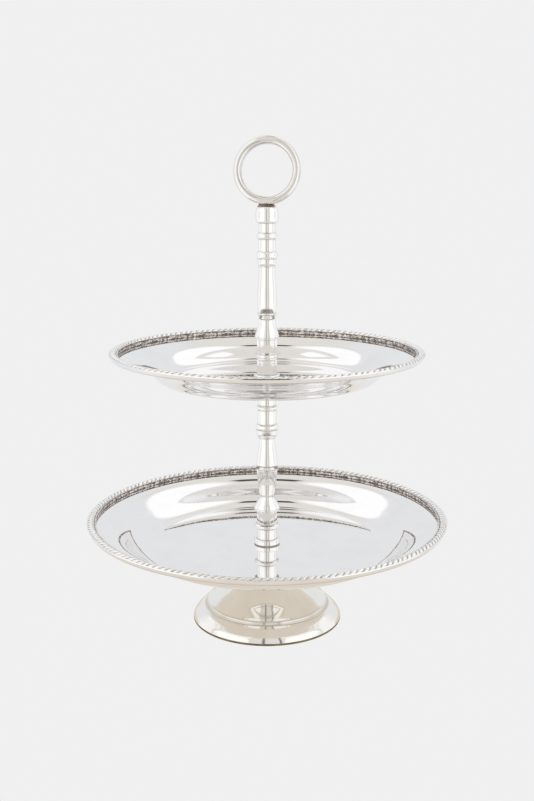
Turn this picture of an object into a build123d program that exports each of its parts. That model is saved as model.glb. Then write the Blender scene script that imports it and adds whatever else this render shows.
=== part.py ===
from build123d import *
import math
import os

# Two-tier cake stand: a spun foot, two shallow dishes with rope-moulded rims, two turned stems
# stacked on tie rods, and a finger ring on top. Millimetres, +Z up, Z = 0 is the table and the
# Z axis is the axis of the stems. Every outline below is a list of (radius, height, softness):
# softness 0 is a sharp corner, 1 is an arc that takes half of the shorter side next to it.

# ---- driving dimensions ----
SHEET = 1.0                     # spun sheet of the dishes and the foot
LOWER_DISH_RADIUS = 125.0
UPPER_DISH_RADIUS = 106.8
LOWER_CREST = 76.5              # top of the rope moulding
UPPER_CREST = 192.7
LOWER_FLOOR = 53.8              # top of a dish at its middle
UPPER_FLOOR = 172.5             # the middle of the upper dish is stamped up a little
UPPER_STAMP = 0.7               # height of that stamped middle

FOOT_RADIUS = 52.4
FOOT_TOP = 52.0
FOOT_EDGE_HEIGHT = 1.5
FOOT_EDGE_WIDTH = 2.0
FOOT_NECK_RADIUS = 12.0
BOSS_RADIUS = 8.5
BOSS_LENGTH = 14.0
SPIGOT_RADIUS = 6.0

WASHER_THICKNESS = 0.8
WASHER_RADIUS = 8.2
SEAT_RADIUS = 11.0              # wide washer between the foot and the lower dish

ROD_RADIUS = 3.0                # plain shank in place of an M6 thread
THREAD_CLEARANCE = 0.05
ROD_BORE = ROD_RADIUS + THREAD_CLEARANCE
DISH_HOLE = 3.4
THREAD_LENGTH = 12.0            # engaged length, so also the rise of a stem that unscrews

ROPE_WIDTH = 5.2
ROPE_SHOULDER = 1.4             # inner shoulder of the rope below its crest
BAND_WIDTH = 1.6
LIP_WIDTH = 1.6                 # the brim turns up over this width to hold the rope
LIP_DROP = 1.5                  # top of the turned-up lip below the crest of the rope

LOWER_SEAM = 108.2              # joint between the vase and the column of the lower stem
COLLAR_BOTTOM = 215.9           # thin collar between the vase and the column of the upper stem
COLLAR_TOP = 217.1
COLLAR_RADIUS = 6.6
LOWER_SLEEVE_TOP = 79.0
UPPER_SLEEVE_TOP = 199.4
COLUMN_TOP = 276.5
BALL_TOP = 287.8

RING_TOP = 332.7
RING_OUTER = 22.2
RING_INNER = 17.0
RING_WIDTH = 7.4
RING_LEAN = 6.0                 # degrees, top away from the front
RING_YAW = -8.0                 # degrees about the stem


# ---- outlines ----
def corner_radius(before, corner, after):
    """Largest arc that its two sides allow, times the corner's softness."""
    here = Vector(corner[0], corner[1])
    back = Vector(before[0], before[1]) - here
    ahead = Vector(after[0], after[1]) - here
    half_turn = math.radians(180.0 - back.get_angle(ahead)) / 2
    setback = corner[2] * 0.5 * min(back.length, ahead.length)
    return setback / math.tan(half_turn)


def solid_of(outline):
    """Turn a closed outline of (radius, height, softness) corners about the stem's axis."""
    count = len(outline)
    radii = [
        corner_radius(outline[i - 1], outline[i], outline[(i + 1) % count])
        for i in range(count)
    ]
    points = [(radius, height) for radius, height, softness in outline]
    edge = FilletPolyline(*points, radius=radii, close=True)
    return revolve(Plane.XZ * make_face(edge), Axis.Z)


def turned(outside, bore):
    """A turned piece: its outside from bottom to top, closed on a straight bore."""
    return solid_of(outside + [(bore, outside[-1][1], 0), (bore, outside[0][1], 0)])


def ring(inner, outer, bottom, top, softness=0.0):
    """A flat ring, such as a washer."""
    return turned([(outer, bottom, softness), (outer, top, softness)], inner)


def bead(middle, below, crest, above, half_height):
    """Corners of a rounded bead between a part of radius below and one of radius above."""
    flat = 0.42 * half_height
    return [
        (below, middle - half_height, 0.2),
        (crest, middle - flat, 0.95),
        (crest, middle + flat, 0.95),
        (above, middle + half_height, 0.2),
    ]


def shifted(points, distance):
    """The same chain of points moved sideways by distance, with mitred corners."""
    moved = []
    for i, (radius, height, softness) in enumerate(points):
        first = points[max(i - 1, 0)]
        last = points[min(i + 1, len(points) - 1)]
        come = Vector(radius - first[0], height - first[1]).normalized() if i else None
        go = Vector(last[0] - radius, last[1] - height).normalized() if i < len(points) - 1 else come
        come = come or go
        across = Vector(-(come.Y + go.Y), come.X + go.X).normalized()
        miter = distance / math.sqrt((1 + come.dot(go)) / 2)
        moved.append((radius + across.X * miter, height + across.Y * miter, softness))
    return moved


# ---- dishes ----
def lower_dish_underside():
    """Flat floor, a wide cove and shoulder, a gently rising brim and a turned-up lip."""
    bottom = LOWER_FLOOR - SHEET
    return [
        (DISH_HOLE, bottom, 0),
        (90.5, bottom, 0.99),
        (104.0, 68.4, 0.99),
        (LOWER_DISH_RADIUS - LIP_WIDTH, 71.8, 0.6),
        (LOWER_DISH_RADIUS, LOWER_CREST - LIP_DROP, 0),
    ]


def upper_dish_underside():
    """Raised middle, flat floor, a tight cove and shoulder, a wide brim and a turned-up lip."""
    bottom = UPPER_FLOOR - SHEET
    return [
        (DISH_HOLE, bottom, 0),
        (16.0, bottom, 0.9),
        (44.0, bottom - UPPER_STAMP, 0.9),
        (73.2, bottom - UPPER_STAMP, 0.99),
        (80.2, 180.8, 0.99),
        (UPPER_DISH_RADIUS - LIP_WIDTH, 188.4, 0.6),
        (UPPER_DISH_RADIUS, UPPER_CREST - LIP_DROP, 0),
    ]


def dish(underside):
    """A spun sheet of even thickness above its underside."""
    top = shifted(underside, SHEET)
    top[0] = (DISH_HOLE, top[0][1], 0)
    return solid_of(underside + top[::-1])


def brim_height(underside, radius):
    """Height of the brim's top face at a radius."""
    inner, outer = shifted(underside, SHEET)[-3:-1]
    share = (radius - inner[0]) / (outer[0] - inner[0])
    return inner[1] + share * (outer[1] - inner[1])


def rope(underside, dish_radius, crest, plate):
    """Rope moulding that fills the angle between the brim and the lip, with a domed top."""
    inner = dish_radius - ROPE_WIDTH
    start = (inner, brim_height(underside, inner))
    shoulder = (inner, crest - ROPE_SHOULDER)
    top = (inner + ROPE_WIDTH / 2, crest)
    heel, lip = [(radius, height) for radius, height, softness in shifted(underside, SHEET)[-2:]]
    outline = Polyline(lip, heel, start, shoulder) + ThreePointArc(shoulder, top, lip)
    return revolve(Plane.XZ * make_face(outline), Axis.Z) - plate


def band(underside, dish_radius, crest):
    """Narrow upright ornament strip along the inner side of the rope."""
    outer = dish_radius - ROPE_WIDTH
    inner = outer - BAND_WIDTH
    top = crest - ROPE_SHOULDER
    outline = [
        (outer, brim_height(underside, outer), 0),
        (outer, top, 0.6),
        (inner + 0.5, top - 0.3, 0.6),
        (inner, brim_height(underside, inner), 0),
    ]
    return solid_of(outline)


# ---- foot ----
def foot_shell():
    """Trumpet foot: a convex flange, a small step, a hollow cone and a flat seat."""
    outside = [
        (FOOT_RADIUS, FOOT_EDGE_HEIGHT, 0),
        (51.0, 4.4, 0.95),
        (46.6, 8.8, 0.95),
        (43.3, 10.6, 0.6),
        (42.9, 12.7, 0.8),
        (40.6, 14.0, 0.5),
        (28.5, 22.3, 0.95),
        (16.5, 37.5, 0.95),
        (FOOT_NECK_RADIUS, 48.0, 0.95),
        (FOOT_NECK_RADIUS - 0.4, FOOT_TOP, 0.6),
        (SPIGOT_RADIUS, FOOT_TOP, 0),
    ]
    inside = shifted(outside, SHEET)
    inside[0] = (inside[0][0], FOOT_EDGE_HEIGHT, 0)
    inside[-1] = (SPIGOT_RADIUS, FOOT_TOP - SHEET, 0)
    return solid_of(outside + inside[::-1])


def foot_edge_ring():
    """Flat wired edge that the foot stands on."""
    inner = FOOT_RADIUS - FOOT_EDGE_WIDTH
    outline = [
        (inner, 0, 0),
        (FOOT_RADIUS, 0, 0.3),
        (FOOT_RADIUS, FOOT_EDGE_HEIGHT, 0.3),
        (inner, FOOT_EDGE_HEIGHT, 0),
    ]
    return solid_of(outline)


def foot_boss():
    """Tapped boss brazed under the seat, with a spigot up through it."""
    under_seat = FOOT_TOP - SHEET
    outside = [
        (BOSS_RADIUS, under_seat - BOSS_LENGTH, 0.1),
        (BOSS_RADIUS, under_seat, 0),
        (SPIGOT_RADIUS, under_seat, 0),
        (SPIGOT_RADIUS, FOOT_TOP, 0),
    ]
    return turned(outside, ROD_BORE)


# ---- stems ----
def lower_stem_base(bottom):
    """Disc and ringed sleeve that stand on the lower dish."""
    disc_top = 57.8
    outside = [
        (9.1, bottom, 0),
        (9.1, disc_top, 0.9),
        (7.1, disc_top, 0.2),
    ]
    outside += bead(67.2, 7.1, 8.8, 7.15, 1.7)
    outside += [(7.12, LOWER_SLEEVE_TOP, 0)]
    return turned(outside, ROD_BORE)


def lower_stem_vase():
    """Flared skirt that draws in to a waist and swells again to the seam."""
    outside = [
        (8.8, LOWER_SLEEVE_TOP, 0.5),
        (9.35, 80.3, 0.9),
        (8.6, 82.0, 0.9),
        (5.7, 86.4, 0.95),
        (5.0, 89.4, 0.95),
        (6.15, 96.0, 0.95),
        (6.8, 102.5, 0.95),
        (7.3, LOWER_SEAM - 0.5, 0.2),
        (6.7, LOWER_SEAM, 0),
    ]
    return turned(outside, ROD_BORE)


def lower_stem_column(top, rod_top, socket_bottom):
    """Baluster, cup and ringed sleeve up to the seat of the upper dish."""
    outside = [
        (6.7, LOWER_SEAM, 0),
        (7.32, LOWER_SEAM + 0.5, 0.2),
        (7.5, 112.6, 0.95),
        (6.75, 118.8, 0.95),
        (5.7, 124.4, 0.95),
        (5.55, 130.6, 0.2),
        (7.0, 132.3, 0.95),
        (7.5, 136.3, 0.6),
    ]
    outside += bead(138.6, 7.35, 7.75, 6.66, 2.1)
    outside += bead(152.0, 6.68, 7.55, 6.25, 1.7)
    outside += [
        (6.2, 164.5, 0.5),
        (8.4, 168.0, 0.8),
        (8.8, top, 0),
    ]
    blank = turned(outside, ROD_BORE)
    web = Cylinder(ROD_BORE, socket_bottom - rod_top, align=(Align.CENTER, Align.CENTER, Align.MIN))
    return blank + Pos(0, 0, rod_top) * web


def upper_stem_base(bottom):
    """Disc and ringed sleeve that stand on the upper dish."""
    disc_top = 175.1
    outside = [
        (9.0, bottom, 0),
        (9.0, disc_top, 0.9),
        (6.9, disc_top, 0.2),
    ]
    outside += bead(187.1, 6.92, 7.64, 6.94, 1.7)
    outside += [(6.96, UPPER_SLEEVE_TOP, 0)]
    return turned(outside, ROD_BORE)


def upper_stem_vase():
    """Small flared skirt and waist below the collar."""
    outside = [
        (7.8, UPPER_SLEEVE_TOP, 0.5),
        (8.35, 200.8, 0.9),
        (7.8, 203.0, 0.95),
        (6.45, 207.2, 0.95),
        (5.65, 211.4, 0.95),
        (6.1, COLLAR_BOTTOM, 0),
    ]
    return turned(outside, ROD_BORE)


def upper_stem_column():
    """Slim baluster, two beads and the neck below the ball."""
    outside = [
        (6.15, COLLAR_TOP, 0),
        (6.6, 221.6, 0.95),
        (6.85, 227.4, 0.95),
        (6.4, 233.6, 0.95),
        (5.75, 241.0, 0.95),
        (5.65, 248.3, 0.8),
        (6.35, 250.0, 0.8),
    ]
    outside += bead(255.4, 6.45, 7.22, 5.97, 2.5)
    outside += bead(268.1, 6.0, 7.06, 5.69, 2.1)
    outside += [(5.72, COLUMN_TOP, 0)]
    return turned(outside, ROD_BORE)


def handle_ball(rod_top):
    """Rounded knob with a blind socket for the rod."""
    outside = [
        (5.9, COLUMN_TOP, 0.3),
        (7.3, 277.3, 0.9),
        (7.75, 279.8, 0.9),
        (7.75, 284.4, 0.9),
        (6.9, 287.0, 0.9),
        (3.4, BALL_TOP, 0),
        (0, BALL_TOP, 0),
        (0, rod_top, 0),
        (ROD_BORE, rod_top, 0),
        (ROD_BORE, COLUMN_TOP, 0),
    ]
    return solid_of(outside)


def rod(bottom, top):
    """Tie rod with chamfered ends."""
    chamfered = [(ROD_RADIUS - 0.5, bottom, 0), (ROD_RADIUS, bottom + 0.5, 0)]
    chamfered += [(ROD_RADIUS, top - 0.5, 0), (ROD_RADIUS - 0.5, top, 0)]
    return solid_of(chamfered + [(0, top, 0), (0, bottom, 0)])


def handle_ring():
    """Finger ring of flat section with rounded edges, leaning back and turned a little."""
    half = RING_WIDTH / 2
    centre = RING_TOP - RING_OUTER
    section = [
        (RING_INNER, -half, 0.95),
        (RING_OUTER, -half, 0.95),
        (RING_OUTER, half, 0.95),
        (RING_INNER, half, 0.95),
    ]
    upright = Rot(90, 0, 0) * solid_of(section)
    return Pos(0, 0, centre) * Rot(0, 0, RING_YAW) * Rot(-RING_LEAN, 0, 0) * upright


def handle_solder(finger_ring):
    """Saddle of solder between the knob and the finger ring."""
    ring_bottom = RING_TOP - 2 * RING_OUTER
    outside = [
        (4.9, BALL_TOP, 0.3),
        (4.2, ring_bottom + 1.6, 0.6),
        (0, ring_bottom + 1.6, 0),
        (0, BALL_TOP, 0),
    ]
    return solid_of(outside) - finger_ring


# ---- assembly ----
lower_stem_bottom = LOWER_FLOOR + WASHER_THICKNESS
upper_stem_bottom = UPPER_FLOOR + WASHER_THICKNESS
upper_seat_bottom = UPPER_FLOOR - SHEET - WASHER_THICKNESS
lower_rod_top = 150.0
upper_rod_top = 284.0
upper_rod_bottom = upper_seat_bottom - THREAD_LENGTH
socket_bottom = upper_rod_bottom - 1.0
lower_underside = lower_dish_underside()
upper_underside = upper_dish_underside()
lower_dish = dish(lower_underside)
upper_dish = dish(upper_underside)
finger_ring = handle_ring()

nodes = {
    "foot_shell": foot_shell(),
    "foot_edge_ring": foot_edge_ring(),
    "foot_boss": foot_boss(),
    "foot_seat_washer": ring(DISH_HOLE, SEAT_RADIUS, FOOT_TOP, LOWER_FLOOR - SHEET),
    "lower_plate": lower_dish,
    "lower_rim_rope": rope(lower_underside, LOWER_DISH_RADIUS, LOWER_CREST, lower_dish),
    "lower_rim_band": band(lower_underside, LOWER_DISH_RADIUS, LOWER_CREST),
    "lower_stem_washer": ring(DISH_HOLE, WASHER_RADIUS, LOWER_FLOOR, lower_stem_bottom),
    "lower_stem_base": lower_stem_base(lower_stem_bottom),
    "lower_stem_vase": lower_stem_vase(),
    "lower_stem_column": lower_stem_column(upper_seat_bottom, lower_rod_top, socket_bottom),
    "lower_tie_rod": rod(FOOT_TOP - THREAD_LENGTH, lower_rod_top),
    "upper_seat_washer": ring(DISH_HOLE, WASHER_RADIUS, upper_seat_bottom, UPPER_FLOOR - SHEET),
    "upper_plate": upper_dish,
    "upper_rim_rope": rope(upper_underside, UPPER_DISH_RADIUS, UPPER_CREST, upper_dish),
    "upper_rim_band": band(upper_underside, UPPER_DISH_RADIUS, UPPER_CREST),
    "upper_stem_washer": ring(DISH_HOLE, WASHER_RADIUS, UPPER_FLOOR, upper_stem_bottom),
    "upper_stem_base": upper_stem_base(upper_stem_bottom),
    "upper_stem_vase": upper_stem_vase(),
    "upper_stem_collar": ring(ROD_BORE, COLLAR_RADIUS, COLLAR_BOTTOM, COLLAR_TOP, 0.9),
    "upper_stem_column": upper_stem_column(),
    "upper_tie_rod": rod(upper_rod_bottom, upper_rod_top),
    "handle_ball": handle_ball(upper_rod_top),
    "handle_ring": finger_ring,
    "handle_solder": handle_solder(finger_ring),
}

os.makedirs("parts", exist_ok=True)
for name, solid in nodes.items():
    export_step(solid, f"parts/{name}.step")
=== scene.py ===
import math

import bpy
import numpy as np
from mathutils import Matrix, Vector, noise


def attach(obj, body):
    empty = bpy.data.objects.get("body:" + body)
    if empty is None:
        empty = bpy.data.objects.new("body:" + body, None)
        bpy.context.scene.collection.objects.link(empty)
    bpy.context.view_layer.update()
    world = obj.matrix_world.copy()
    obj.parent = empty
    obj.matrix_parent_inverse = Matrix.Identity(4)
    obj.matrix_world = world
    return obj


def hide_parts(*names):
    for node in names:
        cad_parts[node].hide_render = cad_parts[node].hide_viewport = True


# Looks of the two-tier cake stand. Outlines are in millimetres as (radius, height, softness)
# corners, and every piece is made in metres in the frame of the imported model.

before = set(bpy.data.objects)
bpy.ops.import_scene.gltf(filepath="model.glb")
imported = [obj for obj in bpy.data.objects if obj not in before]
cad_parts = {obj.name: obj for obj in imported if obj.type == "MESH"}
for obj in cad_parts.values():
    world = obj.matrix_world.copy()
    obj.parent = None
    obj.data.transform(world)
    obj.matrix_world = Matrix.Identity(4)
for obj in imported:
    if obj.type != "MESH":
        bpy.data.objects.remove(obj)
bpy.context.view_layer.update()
scene = bpy.context.scene

MM = 0.001
SHEET = 1.0              # thickness of the spun sheet of the foot and the dishes
WASHER = 0.8             # thickness of the fibre washers
DISH_HOLE = 3.4          # radius of the hole in each dish and washer
BORE = 3.05              # radius of the hole in each stem piece
ROPE_WIDTH = 5.2
ROPE_SHOULDER = 1.4      # inner edge of the rope below its crest
BAND_WIDTH = 1.6
LOWER = {"radius": 125.0, "crest": 76.5, "floor": 53.8}
UPPER = {"radius": 106.8, "crest": 192.7, "floor": 172.5}

LEAST_SETBACK = 0.12     # rounding of a corner that is drawn sharp
ARC_STEP = 0.05          # radians between the rows of a rounded corner
STRAIGHT = 0.003         # radians below which a corner isn't rounded
SHARP_TURN = 0.3         # radians from which an inside corner gathers tarnish
FULL_TURN = 1.2          # radians at which it gathers the most
STAIN_REACH = 0.22       # how far tarnish spreads from an inside corner
SEAM_REACH = 0.18        # how far it spreads from a seam
ON_AXIS = 1e-6           # radius below which a row is a single vertex


# ---- outlines ----
def unit(vector):
    """The vector at length 1."""
    return vector / np.hypot(*vector)


def right_of(direction):
    """The outward normal of a counter-clockwise outline that runs this way."""
    return np.array((direction[1], -direction[0]))


def on_run(start, end):
    """Extra points along a straight run, close together near its ends."""
    length = np.hypot(*(end - start))
    near = [s for s in (0.1, 0.3, 0.8) if s < length / 2]
    middle = []
    if length > 5.6:
        middle = list(np.linspace(0.8, length - 0.8, int((length - 1.6) / 4) + 2)[1:-1])
    steps = near + middle + [length - s for s in reversed(near)]
    return [start + unit(end - start) * s for s in steps]


def rounded(here, come, turn, setback):
    """Rows of point and normal round a corner, on the arc that starts setback before it."""
    side = math.copysign(setback / math.tan(abs(turn) / 2), turn)
    centre = here - come * setback - right_of(come) * side
    steps = max(3, math.ceil(abs(turn) / ARC_STEP))
    arc = []
    for k in range(steps + 1):
        angle = turn * k / steps
        along = np.array((
            come[0] * math.cos(angle) - come[1] * math.sin(angle),
            come[0] * math.sin(angle) + come[1] * math.cos(angle),
        ))
        arc.append((centre + right_of(along) * side, right_of(along)))
    return arc


def tarnish(point, hollows, seams):
    """How deep a point lies in an inside corner or by a seam, from 0 to 1."""
    recess = 0.0
    for hollow, setback, strength in hollows:
        far = max(0.0, np.hypot(*(point - hollow)) - setback)
        recess = max(recess, strength * math.exp(-far / STAIN_REACH))
    for seam in seams:
        recess = max(recess, math.exp(-abs(point[1] - seam) / SEAM_REACH))
    return recess


def softened(outline, seams=()):
    """Rows of radius, height, normal and recess for an outline with rounded corners.

    An outline with corners on the axis is open there, and its rows run from axis to axis.
    """
    on_axis = [i for i, corner in enumerate(outline) if corner[0] == 0]
    if on_axis:
        first = next(i for i in on_axis if outline[i - 1][0] == 0)
        outline = outline[first:] + outline[:first]
    count = len(outline)
    groups = []
    hollows = []
    for i, (radius, height, softness) in enumerate(outline):
        here = np.array((radius, height), float)
        before = np.array(outline[i - 1][:2], float)
        after = np.array(outline[(i + 1) % count][:2], float)
        if on_axis and i in (0, count - 1):
            along = unit(after - here) if i == 0 else unit(here - before)
            groups.append([(here, right_of(along))])
            continue
        come, go = unit(here - before), unit(after - here)
        short = min(np.hypot(*(here - before)), np.hypot(*(after - here)))
        setback = max(softness * 0.5 * short, min(LEAST_SETBACK, 0.3 * short))
        turn = math.atan2(come[0] * go[1] - come[1] * go[0], float(come @ go))
        if abs(turn) < STRAIGHT:
            groups.append([(here, right_of(unit(come + go)))])
            continue
        groups.append(rounded(here, come, turn, setback))
        if turn < -SHARP_TURN and setback < 1.0:
            hollows.append((here, setback, min(1.0, -turn / FULL_TURN)))
    rows = []
    for i, group in enumerate(groups):
        rows += group
        if on_axis and i == count - 1:
            break
        start, normal = group[-1]
        end = groups[(i + 1) % count][0][0]
        rows += [(point, normal) for point in on_run(start, end)]
    table = [(*point, *normal, tarnish(point, hollows, seams)) for point, normal in rows]
    return np.array(table), not on_axis


def shifted(points, distance):
    """The same chain of corners moved sideways by distance, with mitred corners."""
    moved = []
    for i, (radius, height, softness) in enumerate(points):
        here = np.array((radius, height), float)
        come = unit(here - np.array(points[i - 1][:2])) if i else None
        go = unit(np.array(points[i + 1][:2]) - here) if i < len(points) - 1 else come
        come = go if come is None else come
        across = unit(-right_of(come) - right_of(go))
        miter = distance / math.sqrt((1 + float(come @ go)) / 2)
        moved.append((radius + across[0] * miter, height + across[1] * miter, softness))
    return moved


def turned(outside, bore=BORE):
    """A closed outline from its outside and a straight bore."""
    return outside + [(bore, outside[-1][1], 0), (bore, outside[0][1], 0)]


def ring_outline(inner, outer, bottom, top, softness=0.0):
    """A flat ring such as a washer."""
    return turned([(outer, bottom, softness), (outer, top, softness)], inner)


def bead(middle, below, crest, above, half_height):
    """A rounded bead between the radii below and above it."""
    flat = 0.42 * half_height
    return [
        (below, middle - half_height, 0.2),
        (crest, middle - flat, 0.95),
        (crest, middle + flat, 0.95),
        (above, middle + half_height, 0.2),
    ]


# ---- meshes ----
def new_piece(name, points, faces, body, material, attributes, normals=None):
    """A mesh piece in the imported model's frame, riding on its body in place of its CAD node."""
    mesh = bpy.data.meshes.new(name)
    mesh.from_pydata(points.tolist(), [], faces)
    mesh.validate()
    mesh.polygons.foreach_set("use_smooth", np.ones(len(mesh.polygons), bool))
    for label, values in attributes.items():
        layer = mesh.attributes.new(label, "FLOAT", "POINT")
        layer.data.foreach_set("value", np.ascontiguousarray(values, np.float32))
    mesh.update()
    if normals is not None:
        mesh.normals_split_custom_set_from_vertices(normals.tolist())
    mesh.materials.append(material)
    piece = bpy.data.objects.new(name, mesh)
    scene.collection.objects.link(piece)
    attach(piece, body)
    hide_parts(name)
    return piece


def grid_faces(rows, columns, close_rows):
    """Quads between rings of vertices, facing outwards for a counter-clockwise outline."""
    faces = []
    for i in range(rows if close_rows else rows - 1):
        k = (i + 1) % rows
        for j in range(columns):
            m = (j + 1) % columns
            faces.append((i * columns + j, i * columns + m, k * columns + m, k * columns + j))
    return faces


def lathe(name, outline, body, material, segments=96, seams=(), place=None):
    """A piece turned about the stem's axis, with the exact normals of its outline."""
    table, closed = softened(outline, seams)
    angles = np.arange(segments) * 2 * math.pi / segments
    points, normals, recess, starts = [], [], [], []
    for radius, height, across, up, hollow in table:
        starts.append(len(points))
        some = angles if radius > ON_AXIS else angles[:1]
        for angle in some:
            points.append((radius * math.cos(angle), radius * math.sin(angle), height))
            normals.append((across * math.cos(angle), across * math.sin(angle), up))
            recess.append(hollow)
    faces = []
    rows = len(table)
    for i in range(rows if closed else rows - 1):
        k = (i + 1) % rows
        lone_i, lone_k = table[i][0] <= ON_AXIS, table[k][0] <= ON_AXIS
        for j in range(segments):
            m = (j + 1) % segments
            if lone_i:
                faces.append((starts[i], starts[k] + m, starts[k] + j))
            elif lone_k:
                faces.append((starts[i] + j, starts[i] + m, starts[k]))
            else:
                faces.append((starts[i] + j, starts[i] + m, starts[k] + m, starts[k] + j))
    points = np.array(points) * MM
    normals = np.array(normals)
    if place is not None:
        turn = np.array(place.to_3x3())
        points = points @ turn.T + np.array(place.translation)
        normals = normals @ turn.T
    return new_piece(name, points, faces, body, material, {"recess": recess}, normals)


def noise_at(points, size, seed):
    """Smooth noise from about -1 to 1 at points in millimetres; size is its grain."""
    away = Vector((seed * 7.3, seed * 3.1, 0))
    return np.array([noise.noise(Vector(p) / size + away) for p in points])


# ---- node materials ----
class Tree:
    """Short ways to add nodes to one node tree."""

    def __init__(self, tree):
        self.tree = tree
        tree.nodes.clear()

    def add(self, kind, inputs=None, **settings):
        node = self.tree.nodes.new(kind)
        for key, value in settings.items():
            setattr(node, key, value)
        for key, value in (inputs or {}).items():
            socket = node.inputs[key]
            if isinstance(value, bpy.types.NodeSocket):
                self.tree.links.new(value, socket)
            else:
                socket.default_value = value
        return node

    def math(self, operation, *values):
        return self.add("ShaderNodeMath", dict(enumerate(values)), operation=operation).outputs[0]

    def span(self, value, low, high, to_low=0.0, to_high=1.0):
        """A smooth step from to_low at low to to_high at high."""
        inputs = {"Value": value, "From Min": low, "From Max": high, "To Min": to_low, "To Max": to_high}
        return self.add("ShaderNodeMapRange", inputs, interpolation_type="SMOOTHSTEP").outputs["Result"]

    def window(self, value, low, high, soft):
        """1 between low and high, 0 outside, with soft edges."""
        rise = self.span(value, low - soft, low + soft)
        fall = self.span(value, high - soft, high + soft, 1.0, 0.0)
        return self.math("MULTIPLY", rise, fall)

    def mix(self, share, first, second):
        # sockets 6 and 7, and output 2, are the node's colours
        inputs = {0: share, 6: first, 7: second}
        return self.add("ShaderNodeMix", inputs, data_type="RGBA", clamp_factor=True).outputs[2]

    def noise(self, where, scale, detail=2.0, roughness=0.5, distortion=0.0):
        inputs = {"Vector": where, "Scale": scale, "Detail": detail}
        inputs.update({"Roughness": roughness, "Distortion": distortion})
        return self.add("ShaderNodeTexNoise", inputs).outputs["Fac"]

    def attribute(self, name):
        return self.add("ShaderNodeAttribute", attribute_name=name).outputs["Fac"]

    def ramp(self, value, stops):
        node = self.add("ShaderNodeValToRGB", {"Fac": value})
        while len(node.color_ramp.elements) < len(stops):
            node.color_ramp.elements.new(0.5)
        for element, (position, colour) in zip(node.color_ramp.elements, stops):
            element.position = position
            element.color = (*colour, 1.0)
        return node.outputs["Color"]


def rgba(colour):
    return (*colour, 1.0)


def finish_material(material, tree, colour, roughness, bump, metallic=1.0):
    inputs = {"Base Color": colour, "Roughness": roughness, "Metallic": metallic}
    inputs["Normal"] = bump.outputs["Normal"]
    shader = tree.add("ShaderNodeBsdfPrincipled", inputs)
    tree.add("ShaderNodeOutputMaterial", {"Surface": shader.outputs["BSDF"]})
    return material


def start_material(name):
    """A new node material, its tree and the object's own coordinates in metres."""
    material = bpy.data.materials.new(name)
    material.use_nodes = True
    tree = Tree(material.node_tree)
    where = tree.add("ShaderNodeTexCoord").outputs["Object"]
    return material, tree, where


def hoop_painted_streaks(tree, where, centre):
    """Patchy painted dark streaks round the finger ring, standing in for its darker reflections: along both
    edges and in a line between them.
    """
    reach = tree.add("ShaderNodeVectorMath", {0: where, 1: centre}, operation="DISTANCE").outputs["Value"]
    patch = tree.span(tree.noise(where, 70.0, 2.0, 0.6), 0.35, 0.65, 0.25, 1.0)
    inner = tree.window(reach, 15.0 * MM, 17.95 * MM, 0.3 * MM)
    line = tree.window(reach, 19.0 * MM, 19.55 * MM, 0.2 * MM)
    outer = tree.window(reach, 21.9 * MM, 26.0 * MM, 0.3 * MM)
    lines = tree.math("ADD", tree.math("ADD", inner, outer), line)
    return tree.math("MULTIPLY", lines, patch)


def silver(name, colour, stain_and_painted_streak, gloss, wave, wave_scale=30.0, hoop=None):
    """Polished silver plate: cloudy tint, fine wear, stained recesses and a faint unevenness.

    gloss is the roughness of the least and the most worn places, and wave the unevenness's
    height. hoop is the centre of a ring that gets painted dark streaks of reflection round it.
    """
    material, tree, where = start_material(name)
    cloud = tree.noise(where, 42.0, 3.0, 0.6)
    dull = [c * 0.965 for c in colour]
    worn = [c * 0.985 for c in colour]
    tint = tree.ramp(cloud, [(0.3, dull), (0.55, colour), (0.75, worn)])
    recess = tree.attribute("recess")
    speck = tree.span(tree.noise(where, 260.0, 3.0, 0.7), 0.62, 0.78, 0.0, 0.10)
    share = tree.math("ADD", tree.math("MULTIPLY", recess, 0.5), speck)
    if hoop is not None:
        # painted dark streaks of reflection round the finger ring, mixed towards the stain colour
        share = tree.math("MULTIPLY_ADD", hoop_painted_streaks(tree, where, hoop), 0.42, share)
    shade = tree.mix(share, tint, rgba(stain_and_painted_streak))
    wear = tree.span(tree.noise(where, 700.0, 4.0, 0.65), 0.35, 0.7, gloss[0], gloss[1])
    rough = tree.math("MULTIPLY_ADD", recess, 0.22, wear)
    bump = tree.add("ShaderNodeBump", {
        "Height": tree.noise(where, wave_scale, 1.0, 0.4), "Distance": wave, "Strength": 1.0,
    })
    return finish_material(material, tree, shade, rough, bump)


def relief_silver(name, stops, gloss, grime):
    """Worn relief: dark in the hollows and bright on the raised parts."""
    material, tree, where = start_material(name)
    uneven = tree.span(tree.noise(where, 420.0, 4.0, 0.7), 0.3, 0.7, -grime, grime)
    height = tree.math("ADD", tree.attribute("relief"), uneven)
    shade = tree.ramp(height, stops)
    rough = tree.span(height, 0.0, 1.0, gloss[1], gloss[0])
    bump = tree.add("ShaderNodeBump", {
        "Height": tree.noise(where, 1500.0, 3.0, 0.6), "Distance": 0.03 * MM, "Strength": 0.6,
    })
    return finish_material(material, tree, shade, rough, bump)


def plain_metal(name, dark, light, gloss, scale, depth, stretch=(1.0, 1.0, 1.0)):
    """Machined or soldered metal with uneven colour and a fine grain."""
    material, tree, where = start_material(name)
    grain = tree.add("ShaderNodeMapping", {"Vector": where, "Scale": stretch}).outputs["Vector"]
    patch = tree.noise(where, scale * 0.35, 3.0, 0.6)
    shade = tree.ramp(patch, [(0.3, dark), (0.7, light)])
    fine = tree.noise(grain, scale, 4.0, 0.65)
    rough = tree.span(fine, 0.3, 0.7, gloss[0], gloss[1])
    bump = tree.add("ShaderNodeBump", {"Height": fine, "Distance": depth, "Strength": 1.0})
    return finish_material(material, tree, shade, rough, bump)


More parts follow.
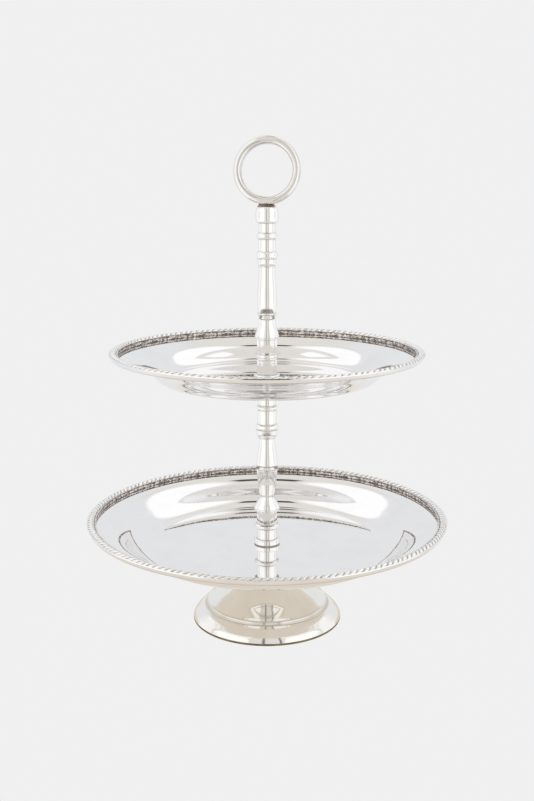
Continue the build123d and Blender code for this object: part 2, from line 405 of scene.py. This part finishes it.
def fibre(name):
    """Dark pressed-fibre washer."""
    material, tree, where = start_material(name)
    fibres = tree.noise(where, 900.0, 5.0, 0.75, 1.5)
    dark, middle, light = (0.42, 0.355, 0.29), (0.56, 0.50, 0.43), (0.66, 0.61, 0.55)
    shade = tree.ramp(fibres, [(0.25, dark), (0.6, middle), (0.85, light)])
    rough = tree.span(fibres, 0.2, 0.8, 0.65, 0.95)
    bump = tree.add("ShaderNodeBump", {"Height": fibres, "Distance": 0.08 * MM, "Strength": 0.8})
    return finish_material(material, tree, shade, rough, bump, metallic=0.0)


RING_TOP = 332.69        # crown of the finger ring
RING_OUTER = 22.19
RING_INNER = 17.0
RING_WIDTH = 7.38
RING_CENTRE = RING_TOP - RING_OUTER

plate_silver = silver(
    "plate_silver", colour=(0.93, 0.922, 0.92), stain_and_painted_streak=(0.30, 0.23, 0.15), gloss=(0.02, 0.06), wave=0.08 * MM,
)
foot_silver = silver(
    "foot_silver", colour=(0.93, 0.915, 0.88), stain_and_painted_streak=(0.28, 0.21, 0.14), gloss=(0.03, 0.08), wave=0.04 * MM,
)
stem_silver = silver(
    "stem_silver", colour=(0.95, 0.945, 0.93), stain_and_painted_streak=(0.26, 0.19, 0.12), gloss=(0.03, 0.09),
    wave=0.03 * MM, wave_scale=60.0,
)
# the finger ring also gets painted dark streaks of reflection round its centre
ring_silver = silver(
    "ring_silver", colour=(0.87, 0.855, 0.835), stain_and_painted_streak=(0.30, 0.24, 0.17), gloss=(0.05, 0.13),
    wave=0.12 * MM, wave_scale=90.0, hoop=(0.0, 0.0, RING_CENTRE * MM),
)
# dark metal of the thin ring along the foot's bottom edge, which shows there as a dark line
dark_edge_metal = plain_metal(
    "dark_edge_metal", dark=(0.16, 0.12, 0.07), light=(0.34, 0.27, 0.18), gloss=(0.25, 0.45),
    scale=400.0, depth=0.03 * MM,
)
boss_brass = plain_metal(
    "boss_brass", dark=(0.50, 0.34, 0.13), light=(0.74, 0.55, 0.25), gloss=(0.25, 0.42),
    scale=500.0, depth=0.02 * MM, stretch=(1, 1, 12),
)
rod_steel = plain_metal(
    "rod_steel", dark=(0.38, 0.38, 0.38), light=(0.62, 0.62, 0.61), gloss=(0.22, 0.4),
    scale=800.0, depth=0.02 * MM,
)
solder_brown = plain_metal(
    "solder_brown", dark=(0.11, 0.075, 0.05), light=(0.52, 0.43, 0.35), gloss=(0.3, 0.6),
    scale=600.0, depth=0.12 * MM,
)
washer_fibre = fibre("washer_fibre")
ROPE_TONES = [
    (0.0, (0.14, 0.115, 0.095)),
    (0.3, (0.44, 0.41, 0.38)),
    (0.62, (0.84, 0.83, 0.81)),
    (1.0, (0.95, 0.945, 0.93)),
]
# Tones of the ornament band by relief: dark oxide in its hollows, and the same dark as painted shade at the
# face's top and bottom
BAND_TONES = [
    (0.0, (0.19, 0.155, 0.135)),
    (0.3, (0.36, 0.315, 0.285)),
    (0.6, (0.60, 0.555, 0.525)),
    (0.9, (0.89, 0.865, 0.85)),
]
rope_silver = relief_silver("rope_silver", ROPE_TONES, gloss=(0.08, 0.3), grime=0.12)
oxide_and_edge_shade = relief_silver("oxidised_silver", BAND_TONES, gloss=(0.2, 0.5), grime=0.28)


# ---- dishes ----
def lower_underside():
    """Flat middle, curved wall, rising brim and the lip under the rope."""
    bottom = LOWER["floor"] - SHEET
    return [
        (DISH_HOLE, bottom, 0),
        (90.5, bottom, 0.99),
        (104.0, 68.4, 0.99),
        (123.4, 71.8, 0.6),
        (125.0, 75.0, 0),
    ]


def upper_underside():
    """As the lower dish, with a middle that sinks a little round its seat."""
    bottom = UPPER["floor"] - SHEET
    sunk = bottom - 0.7
    return [
        (DISH_HOLE, bottom, 0),
        (16.0, bottom, 0.9),
        (44.0, sunk, 0.9),
        (73.2, sunk, 0.99),
        (80.2, 180.8, 0.99),
        (105.2, 188.4, 0.6),
        (106.8, 191.2, 0),
    ]


def dish_outline(underside):
    """The whole sheet, from its underside."""
    top = shifted(underside, SHEET)
    top[0] = (DISH_HOLE, top[0][1], 0)
    return underside + top[::-1]


def brim_height(underside, radius):
    """Height of the brim's upper face at a radius."""
    inner, outer = shifted(underside, SHEET)[-3:-1]
    return inner[1] + (radius - inner[0]) / (outer[0] - inner[0]) * (outer[1] - inner[1])


def arc_through(first, middle, last, count):
    """Points on the circle through three points, from first to last."""
    first, middle, last = (complex(*point) for point in (first, middle, last))
    ratio = (last - first) / (middle - first)
    centre = (middle - first) * (ratio - abs(ratio) ** 2) / (2j * ratio.imag) + first
    start = math.atan2((first - centre).imag, (first - centre).real)
    end = math.atan2((last - centre).imag, (last - centre).real)
    through = math.atan2((middle - centre).imag, (middle - centre).real)
    while end > start:
        end -= 2 * math.pi
    while through > start:
        through -= 2 * math.pi
    if through < end:
        end += 2 * math.pi
    size = abs(first - centre)
    angles = np.linspace(start, end, count)
    points = np.stack([centre.real + size * np.cos(angles), centre.imag + size * np.sin(angles)], 1)
    outward = np.stack([np.cos(angles), np.sin(angles)], 1)
    return points, outward


DOME_ROWS = 19
LOBE_COLUMNS = 14
LOBE_SLANT = 1.05        # lobes that a groove crosses on its way over the dome
GROOVE_DEPTH = 0.85


def rope(name, underside, dish, lobes, body):
    """Rope moulding: slanted rounded strands with sharp grooves, cut into a domed ring."""
    inner = dish["radius"] - ROPE_WIDTH
    start = (inner, brim_height(underside, inner))
    heel, lip = [corner[:2] for corner in shifted(underside, SHEET)[-2:]]
    shoulder = (inner, dish["crest"] - ROPE_SHOULDER)
    crest = (inner + ROPE_WIDTH / 2, dish["crest"])
    dome, outward = arc_through(shoulder, crest, lip, DOME_ROWS)
    around = lobes * LOBE_COLUMNS
    turn = np.arange(around) / around
    share = np.linspace(0, 1, len(dome))
    rows, relief = [], []
    wobble = 0.06 * np.sin(turn * 2 * math.pi * 37) + 0.05 * np.sin(turn * 2 * math.pi * 91 + 1.3)
    for i in range(len(dome)):
        phase = (turn * lobes + LOBE_SLANT * (share[i] - 0.5) + wobble) % 1.0
        strand = np.clip(1 - (2 * phase - 1) ** 2, 0, 1) ** 0.55
        fade = min(1.0, 0.45 + 2.4 * min(share[i], 1 - share[i]))
        depth = GROOVE_DEPTH * fade * (1 - strand)
        radius = dome[i][0] - outward[i][0] * depth
        height = dome[i][1] - outward[i][1] * depth
        rows.append((radius, height))
        relief.append(strand * (0.55 + 0.45 * fade))
    hidden = [(heel[0] - 0.5, heel[1] + 0.45), (start[0] + 0.1, start[1] + 0.15)]
    for radius, height in hidden:
        rows.append((np.full(around, radius), np.full(around, height)))
        relief.append(np.zeros(around))
    rows, relief = rows[::-1], relief[::-1]
    angle = turn * 2 * math.pi
    points = np.stack([
        np.stack([radius * np.cos(angle), radius * np.sin(angle), height * np.ones(around)], 1)
        for radius, height in rows
    ]).reshape(-1, 3)
    faces = grid_faces(len(rows), around, True)
    relief = {"relief": np.concatenate(relief)}
    return new_piece(name, points * MM, faces, body, rope_silver, relief)


def leaf_height(along, up):
    """Relief of the ornament, 0 to 1: a running scroll with a leaf in each bend and beads between."""
    bend = np.sin(along * math.pi)
    stem = np.exp(-((up - 0.5 - 0.22 * bend) / 0.09) ** 2)
    cell = np.floor(along)
    x = along - cell - 0.5
    flip = np.where(cell % 2 == 0, 1.0, -1.0)
    y = (up - 0.5 + 0.16 * flip) * 1.2
    reach = np.hypot(x / 0.40, y / 0.40)
    leaf = np.clip(1 - reach ** 2, 0, 1) ** 0.6
    veins = 0.72 + 0.28 * np.cos(26 * (np.abs(y) * 0.9 + x * flip))
    curl_x, curl_y = x - 0.36, up - 0.5 - 0.14 * flip
    curl = np.clip(1 - (np.hypot(curl_x / 0.17, curl_y / 0.22)) ** 2, 0, 1) ** 0.5
    return np.maximum(np.maximum(stem * 0.8, leaf * veins), curl * 0.95)


CELL_COLUMNS = 20
FACE_ROWS = 15
FACE_DEPTH = 0.34        # relief of the ornament
FACE_SLOPE = 0.34        # how far the face leans out from its foot to its top


def band(name, underside, dish, cells, body):
    """Ornament strip whose inner face is cast in relief, with painted shade along the face's top and bottom.
    """
    outer = dish["radius"] - ROPE_WIDTH
    inner = outer - BAND_WIDTH
    top = dish["crest"] - ROPE_SHOULDER
    low = brim_height(underside, inner)
    around = cells * CELL_COLUMNS
    turn = np.arange(around) / around
    angle = turn * 2 * math.pi
    rows = [
        (outer - 0.02, brim_height(underside, outer), 0),
        (outer - 0.02, top - 0.05, 0),
        (outer - 0.35, top, 0.75),
        (inner + 0.62, top - 0.06, 0.75),
        (inner + 0.42, top - 0.22, 0.6),
    ]
    points, relief = [], []
    for radius, height, bright in rows:
        points.append((np.full(around, radius), np.full(around, height)))
        relief.append(np.full(around, float(bright)))
    for i in range(FACE_ROWS):
        up = 1 - i / (FACE_ROWS - 1)
        height = low + 0.08 + (top - 0.42 - low - 0.08) * up
        worn = 0.22 * np.sin(angle * 53 + up * 3) + 0.2 * np.sin(angle * 131 - up * 5)
        worn += 0.18 * np.sin(angle * 17 + 4 * np.sin(angle * 7) + up * 9)
        along = turn * cells + 0.25 * np.sin(angle * 41)
        shape = leaf_height(along, up + 0.12 * np.sin(angle * 29))
        # towards the face's top and bottom the relief sinks and turns dark: painted shade under the band's
        # top edge and where it meets the brim
        edge = min(1.0, 5.5 * min(up, 1 - up))
        lift = np.clip(shape * (1 + worn), 0, 1) * edge
        slope = inner + FACE_SLOPE * up + 0.12
        points.append((slope + FACE_DEPTH * (1 - lift), np.full(around, height)))
        relief.append(lift)
    points = np.stack([
        np.stack([radius * np.cos(angle), radius * np.sin(angle), height], 1) for radius, height in points
    ]).reshape(-1, 3)
    faces = grid_faces(len(rows) + FACE_ROWS, around, True)
    relief = {"relief": np.concatenate(relief)}
    return new_piece(name, points * MM, faces, body, oxide_and_edge_shade, relief)


for tier, dish, underside, lobes, cells in (
    ("lower", LOWER, lower_underside(), 170, 168),
    ("upper", UPPER, upper_underside(), 140, 142),
):
    body = f"{tier}_dish"
    lathe(f"{tier}_plate", dish_outline(underside), body, plate_silver, 288)
    rope(f"{tier}_rim_rope", underside, dish, lobes, body)
    band(f"{tier}_rim_band", underside, dish, cells, body)


# ---- turned pieces with the same finish ----
def washer(name, radius, bottom, body):
    """A fibre washer that lies at a height."""
    lathe(name, ring_outline(DISH_HOLE, radius, bottom, bottom + WASHER), body, washer_fibre)


def stem_piece(name, outline, body, *seams):
    """A polished piece of a stem, tarnished along the seams at these heights."""
    lathe(name, outline, body, stem_silver, seams=seams)


# ---- foot ----
FOOT_SEAT = 52.0
FOOT_STEP = 10.7         # foot of the step in the flange
EDGE_RADIUS = 52.4
EDGE_INNER = 50.4
EDGE_HEIGHT = 1.5
foot_outside = [
    (EDGE_RADIUS, EDGE_HEIGHT, 0),
    (51.0, 4.4, 0.95),
    (46.6, 8.8, 0.95),
    (43.3, 10.6, 0.6),
    (42.9, 12.7, 0.8),
    (40.6, 14.0, 0.5),
    (28.5, 22.3, 0.95),
    (16.5, 37.5, 0.95),
    (12.0, 48.0, 0.95),
    (11.6, FOOT_SEAT, 0.6),
    (6.0, FOOT_SEAT, 0),
]
foot_inside = shifted(foot_outside, SHEET)
foot_inside[0] = (foot_inside[0][0], EDGE_HEIGHT, 0)
foot_inside[-1] = (6.0, FOOT_SEAT - SHEET, 0)
lathe("foot_shell", foot_outside + foot_inside[::-1], "foot", foot_silver, 256, seams=(FOOT_STEP,))
edge_outline = [
    (EDGE_INNER, 0, 0),
    (EDGE_RADIUS, 0, 0.3),
    (EDGE_RADIUS, EDGE_HEIGHT, 0.3),
    (EDGE_INNER, EDGE_HEIGHT, 0),
]
lathe("foot_edge_ring", edge_outline, "foot", dark_edge_metal, 256)
washer("foot_seat_washer", 11.0, FOOT_SEAT, "foot")

# ---- lower stem: heights at which its pieces meet ----
LOWER_BASE_BOTTOM = LOWER["floor"] + WASHER
LOWER_BASE_TOP = 79.0
LOWER_VASE_TOP = 108.2
LOWER_STEM_TOP = 170.7
LOWER_ROD_TOP = 150.0
washer("lower_stem_washer", 8.9, LOWER["floor"], "lower_washer")
outside = [(9.1, LOWER_BASE_BOTTOM, 0), (9.1, 57.8, 0.9), (7.1, 57.8, 0.2)]
outside += bead(67.2, 7.1, 8.8, 7.15, 1.7)
outside += [(7.12, LOWER_BASE_TOP, 0)]
stem_piece("lower_stem_base", turned(outside), "lower_stem", LOWER_BASE_TOP)
outside = [
    (8.8, LOWER_BASE_TOP, 0.5),
    (9.35, 80.3, 0.9),
    (8.6, 82.0, 0.9),
    (5.7, 86.4, 0.95),
    (5.0, 89.4, 0.95),
    (6.15, 96.0, 0.95),
    (6.8, 102.5, 0.95),
    (7.3, 107.7, 0.2),
    (6.7, LOWER_VASE_TOP, 0),
]
stem_piece("lower_stem_vase", turned(outside), "lower_stem", LOWER_BASE_TOP, LOWER_VASE_TOP)
outside = [
    (6.7, LOWER_VASE_TOP, 0),
    (7.32, 108.7, 0.2),
    (7.5, 112.6, 0.95),
    (6.75, 118.8, 0.95),
    (5.7, 124.4, 0.95),
    (5.55, 130.6, 0.2),
    (7.0, 132.3, 0.95),
    (7.5, 136.3, 0.6),
]
outside += bead(138.6, 7.35, 7.75, 6.66, 2.1) + bead(152.0, 6.68, 7.55, 6.25, 1.7)
outside += [(6.2, 164.5, 0.5), (8.4, 168.0, 0.8), (8.8, LOWER_STEM_TOP, 0)]
socket = [(BORE, LOWER_STEM_TOP, 0), (BORE, 157.7, 0), (0, 157.7, 0)]
socket += [(0, LOWER_ROD_TOP, 0), (BORE, LOWER_ROD_TOP, 0), (BORE, LOWER_VASE_TOP, 0)]
stem_piece("lower_stem_column", outside + socket, "lower_stem", LOWER_VASE_TOP)
washer("upper_seat_washer", 8.2, LOWER_STEM_TOP, "lower_stem")

# ---- upper stem: heights at which its pieces meet ----
UPPER_BASE_BOTTOM = UPPER["floor"] + WASHER
UPPER_BASE_TOP = 199.4
UPPER_VASE_TOP = 215.9
COLLAR_TOP = 217.1
UPPER_COLUMN_TOP = 276.5
UPPER_ROD_TOP = 284.0
KNOB_TOP = 287.8
SOLDER_SEAM = 287.9
washer("upper_stem_washer", 8.8, UPPER["floor"], "upper_washer")
outside = [(9.0, UPPER_BASE_BOTTOM, 0), (9.0, 175.1, 0.9), (6.9, 175.1, 0.2)]
outside += bead(187.1, 6.92, 7.64, 6.94, 1.7)
outside += [(6.96, UPPER_BASE_TOP, 0)]
stem_piece("upper_stem_base", turned(outside), "upper_stem", UPPER_BASE_TOP)
outside = [
    (7.8, UPPER_BASE_TOP, 0.5),
    (8.35, 200.8, 0.9),
    (7.8, 203.0, 0.95),
    (6.45, 207.2, 0.95),
    (5.65, 211.4, 0.95),
    (6.1, UPPER_VASE_TOP, 0),
]
stem_piece("upper_stem_vase", turned(outside), "upper_stem", UPPER_BASE_TOP, UPPER_VASE_TOP)
collar = ring_outline(BORE, 6.6, UPPER_VASE_TOP, COLLAR_TOP, 0.9)
stem_piece("upper_stem_collar", collar, "upper_stem", UPPER_VASE_TOP, COLLAR_TOP)
outside = [
    (6.15, COLLAR_TOP, 0),
    (6.6, 221.6, 0.95),
    (6.85, 227.4, 0.95),
    (6.4, 233.6, 0.95),
    (5.75, 241.0, 0.95),
    (5.65, 248.3, 0.8),
    (6.35, 250.0, 0.8),
]
outside += bead(255.4, 6.45, 7.22, 5.97, 2.5) + bead(268.1, 6.0, 7.06, 5.69, 2.1)
outside += [(5.72, UPPER_COLUMN_TOP, 0)]
stem_piece("upper_stem_column", turned(outside), "upper_stem", COLLAR_TOP, UPPER_COLUMN_TOP)
knob = [
    (5.9, UPPER_COLUMN_TOP, 0.3),
    (7.3, 277.3, 0.9),
    (7.75, 279.8, 0.9),
    (7.75, 284.4, 0.9),
    (6.9, 287.0, 0.9),
    (3.4, KNOB_TOP, 0),
    (0, KNOB_TOP, 0),
    (0, UPPER_ROD_TOP, 0),
    (BORE, UPPER_ROD_TOP, 0),
    (BORE, UPPER_COLUMN_TOP, 0),
]
stem_piece("handle_ball", knob, "upper_stem", UPPER_COLUMN_TOP, SOLDER_SEAM)


# ---- tie rods ----
ROD_RADIUS = 2.98
PITCH = 1.0
THREAD_LENGTH = 18.0
THREAD_DEPTH = 0.42
CHAMFER_RADIUS = 2.35    # of the rod's ends
SHANK_STEP = 3.0         # between the rows of the plain shank


def threaded_rod(name, bottom, top, body):
    """M6 tie rod: helical threads at both ends and a plain shank between."""
    fine = PITCH / 6
    lower_end, upper_end = bottom + THREAD_LENGTH, top - THREAD_LENGTH
    heights = list(np.arange(bottom, lower_end, fine))
    heights += list(np.arange(lower_end, upper_end, SHANK_STEP))
    heights += list(np.arange(upper_end, top, fine)) + [top]
    columns = 24
    angle = np.arange(columns) * 2 * math.pi / columns
    points, recess = [], []
    for height in heights:
        end = min(height - bottom, top - height)
        cut = np.abs(((height - angle / (2 * math.pi)) % PITCH) * 2 - 1)
        threaded = 1.0 if end < THREAD_LENGTH - PITCH else 0.0
        depth = THREAD_DEPTH * np.clip(1.25 * cut - 0.12, 0, 1) * threaded
        radius = np.minimum(ROD_RADIUS - depth, CHAMFER_RADIUS + end)
        points.append(np.stack([radius * np.cos(angle), radius * np.sin(angle), np.full(columns, height)], 1))
        recess.append(depth / THREAD_DEPTH * 0.6)
    middle = np.array([[0, 0, bottom], [0, 0, top]], float)
    points = np.concatenate([np.concatenate(points), middle])
    rows = len(heights)
    faces = grid_faces(rows, columns, False)
    for j in range(columns):
        m = (j + 1) % columns
        faces.append((rows * columns, m, j))
        faces.append(((rows - 1) * columns + j, (rows - 1) * columns + m, rows * columns + 1))
    recess = np.concatenate([np.concatenate(recess), [0, 0]])
    return new_piece(name, points * MM, faces, body, rod_steel, {"recess": recess})


threaded_rod("lower_tie_rod", 40.0, LOWER_ROD_TOP, "lower_stem")
threaded_rod("upper_tie_rod", 158.7, UPPER_ROD_TOP, "upper_stem")

# ---- finger ring and its solder ----
RING_TURN = -8           # degrees about the stem
RING_STAND = 84          # degrees up from lying flat
ring_place = (
    Matrix.Translation((0, 0, RING_CENTRE * MM))
    @ Matrix.Rotation(math.radians(RING_TURN), 4, "Z")
    @ Matrix.Rotation(math.radians(RING_STAND), 4, "X")
)
half = RING_WIDTH / 2
corners = [(RING_INNER, -half), (RING_OUTER, -half), (RING_OUTER, half), (RING_INNER, half)]
section = [(radius, side, 0.95) for radius, side in corners]
lathe("handle_ring", section, "upper_stem", ring_silver, 160, place=ring_place)

SOLDER_FOOT = 287.15     # where the solder meets the side of the knob's dome


def solder_blob():
    """Ragged saddle of solder that spreads over the knob's top and creeps up the ring."""
    columns, rows = 96, 22
    angle = np.arange(columns) * 2 * math.pi / columns
    spread = 6.0 + 0.7 * np.cos(angle - 3.1)
    spread = spread + 0.35 * np.sin(3 * angle + 0.7) + 0.2 * np.sin(8 * angle + 2.1)
    points = []
    for i in range(rows):
        up = i / (rows - 1)
        radius = spread * (1 - up) ** 0.6 if i < rows - 1 else spread * 0.06
        rise = 2.0 + 1.15 * np.cos(angle) ** 2 + 0.35 * np.cos(angle - 2.9)
        knob_height = SOLDER_FOOT + 0.75 * (1 - np.clip((radius - 3.4) / 3.5, 0, 1))
        height = knob_height + rise * np.sin(up * math.pi / 2) ** 1.3
        points.append(np.stack([radius * np.cos(angle), radius * np.sin(angle) * 0.86, height], 1))
    points = np.concatenate(points)
    rough = noise_at(points, 1.5, 2) * 0.42 + noise_at(points, 0.6, 5) * 0.2
    points[:, 2] += rough
    points[:, :2] *= (1 + rough * 0.10)[:, None]
    caps = np.array([[0, 0, points[-columns:, 2].mean()], [0, 0, SOLDER_FOOT + 0.15]])
    faces = grid_faces(rows, columns, False)
    last = (rows - 1) * columns
    for j in range(columns):
        m = (j + 1) % columns
        faces.append((last + j, last + m, rows * columns))
        faces.append((m, j, rows * columns + 1))
    points = np.concatenate([points, caps])
    new_piece("handle_solder", points * MM, faces, "upper_stem", solder_brown, {})


solder_blob()

# ---- the CAD node that stays ----
boss_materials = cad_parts["foot_boss"].data.materials
boss_materials.clear()
boss_materials.append(boss_brass)

# ---- studio ----
CAMERA_PLACE = (0.0, -0.6850, 0.3023)
CAMERA_DOWN = 12.01      # degrees below level
LENS = 45.9
SENSOR = 36.0
BOUNCES = 24
camera = bpy.data.objects.new("camera", bpy.data.cameras.new("camera"))
camera.data.lens = LENS
camera.data.sensor_width = SENSOR
camera.data.clip_start = 0.01
camera.matrix_world = (
    Matrix.Translation(CAMERA_PLACE)
    @ Matrix.Rotation(math.radians(90 - CAMERA_DOWN), 4, "X")
)
scene.collection.objects.link(camera)
scene.camera = camera
scene.view_settings.view_transform = "Standard"
scene.cycles.max_bounces = BOUNCES
scene.cycles.glossy_bounces = BOUNCES
scene.cycles.transparent_max_bounces = BOUNCES

BACKDROP = (0.871, 0.871, 0.871)
BEHIND = (0.82, 0.83, 0.845)
WALL = (0.99, 0.99, 1.0)
ROOF = (0.80, 0.79, 0.77)
SOFT_BOX = (1.08, 1.08, 1.085)
SIDE_BOX = (1.10, 1.10, 1.10)
MIDDLE = (0.80, 0.775, 0.73)
FRONT = (0.79, 0.77, 0.735)
BAR = (0.22, 0.215, 0.215)
LAMP = (0.07, 0.072, 0.08)


def studio_world():
    """The room that the silver shows: a soft box over the stand, pale walls, two bars and a lamp.

    over is the angle from the horizon behind the stand, up over it, towards the camera's side.
    The camera itself sees only the backdrop.
    """
    world = bpy.data.worlds.new("studio")
    scene.world = world
    world.use_nodes = True
    tree = Tree(world.node_tree)
    way = tree.add("ShaderNodeSeparateXYZ", {0: tree.add("ShaderNodeTexCoord").outputs["Generated"]})
    x, y, z = way.outputs
    azimuth = tree.math("ARCTAN2", x, tree.math("MULTIPLY", y, -1.0))
    aside = tree.math("ABSOLUTE", azimuth)
    across = tree.math("ABSOLUTE", x)
    over = tree.math("ARCTAN2", z, y)
    over = tree.math("ADD", over, tree.math("MULTIPLY", tree.math("LESS_THAN", over, -1.2), 2 * math.pi))

    def both(first, second):
        return tree.math("MULTIPLY", first, second)

    low_front = both(tree.window(z, -0.5, 0.72, 0.05), tree.span(over, 1.5, 1.6))
    patches = (
        (tree.window(aside, 1.0, 2.2, 0.25), WALL),
        (tree.span(over, 1.25, 1.40), ROOF),
        (both(tree.window(across, -1.0, 0.76, 0.03), tree.window(over, 0.76, 1.36, 0.04)), SOFT_BOX),
        (both(tree.window(across, -1.0, 0.17, 0.05), tree.window(over, 0.62, 1.60, 0.06)), MIDDLE),
        (both(tree.window(across, 0.42, 0.97, 0.04), tree.span(over, 1.5, 1.7)), SIDE_BOX),
        (both(tree.window(across, -1.0, 0.42, 0.04), tree.span(over, 1.6, 1.8)), FRONT),
        (both(tree.window(azimuth, -0.135, -0.055, 0.02), low_front), BAR),
        (both(tree.window(azimuth, 0.345, 0.405, 0.015), low_front), BAR),
        (both(tree.window(across, -1.0, 0.11, 0.015), tree.window(over, 1.09, 1.25, 0.02)), LAMP),
    )
    colour = rgba(BEHIND)
    for share, tone in patches:
        colour = tree.mix(share, colour, rgba(tone))
    seen = tree.add("ShaderNodeLightPath").outputs["Is Camera Ray"]
    colour = tree.mix(seen, colour, rgba(BACKDROP))
    light = tree.add("ShaderNodeBackground", {"Color": colour, "Strength": 1.0})
    tree.add("ShaderNodeOutputWorld", {"Surface": light.outputs[0]})


# warm cream near the stand, darker than the pale floor further out: a painted shadow of the dishes that only
# reflections see
SHADOWED_CREAM = [(0.3, (0.735, 0.665, 0.575)), (0.7, (0.775, 0.715, 0.625))]
PALE = (0.86, 0.845, 0.81)


def studio_floor():
    """Pale table: the camera sees it as the backdrop, and the silver sees a warm cream that glows
    instead of being lit, darker near the stand as a painted shadow of the dishes.
    """
    size = 3.0
    mesh = bpy.data.meshes.new("floor")
    corners = [(-size, -size, 0), (size, -size, 0), (size, size, 0), (-size, size, 0)]
    mesh.from_pydata(corners, [], [(0, 1, 2, 3)])
    material, tree, where = start_material("floor")
    reach = tree.add("ShaderNodeVectorMath", {0: where}, operation="LENGTH").outputs["Value"]
    cloth = tree.noise(where, 12.0, 3.0)
    # painted shadow of the dishes on the glowing floor near the stand
    near = tree.ramp(cloth, SHADOWED_CREAM)
    cream_and_painted_shadow = tree.mix(tree.span(reach, 0.07, 0.30), near, rgba(PALE))
    seen = tree.add("ShaderNodeLightPath").outputs["Is Camera Ray"]
    colour = tree.mix(seen, cream_and_painted_shadow, rgba(BACKDROP))
    glow = tree.add("ShaderNodeEmission", {"Color": colour, "Strength": 1.0})
    clear = tree.add("ShaderNodeBsdfTransparent")
    unseen = tree.math("SUBTRACT", 1.0, seen)
    far = tree.math("MULTIPLY", tree.span(reach, 0.18, 0.40), unseen)
    both = tree.add("ShaderNodeMixShader", {0: far, 1: glow.outputs[0], 2: clear.outputs[0]})
    tree.add("ShaderNodeOutputMaterial", {"Surface": both.outputs[0]})
    material.cycles.emission_sampling = "NONE"
    mesh.materials.append(material)
    floor = bpy.data.objects.new("floor", mesh)
    scene.collection.objects.link(floor)


studio_world()
studio_floor()
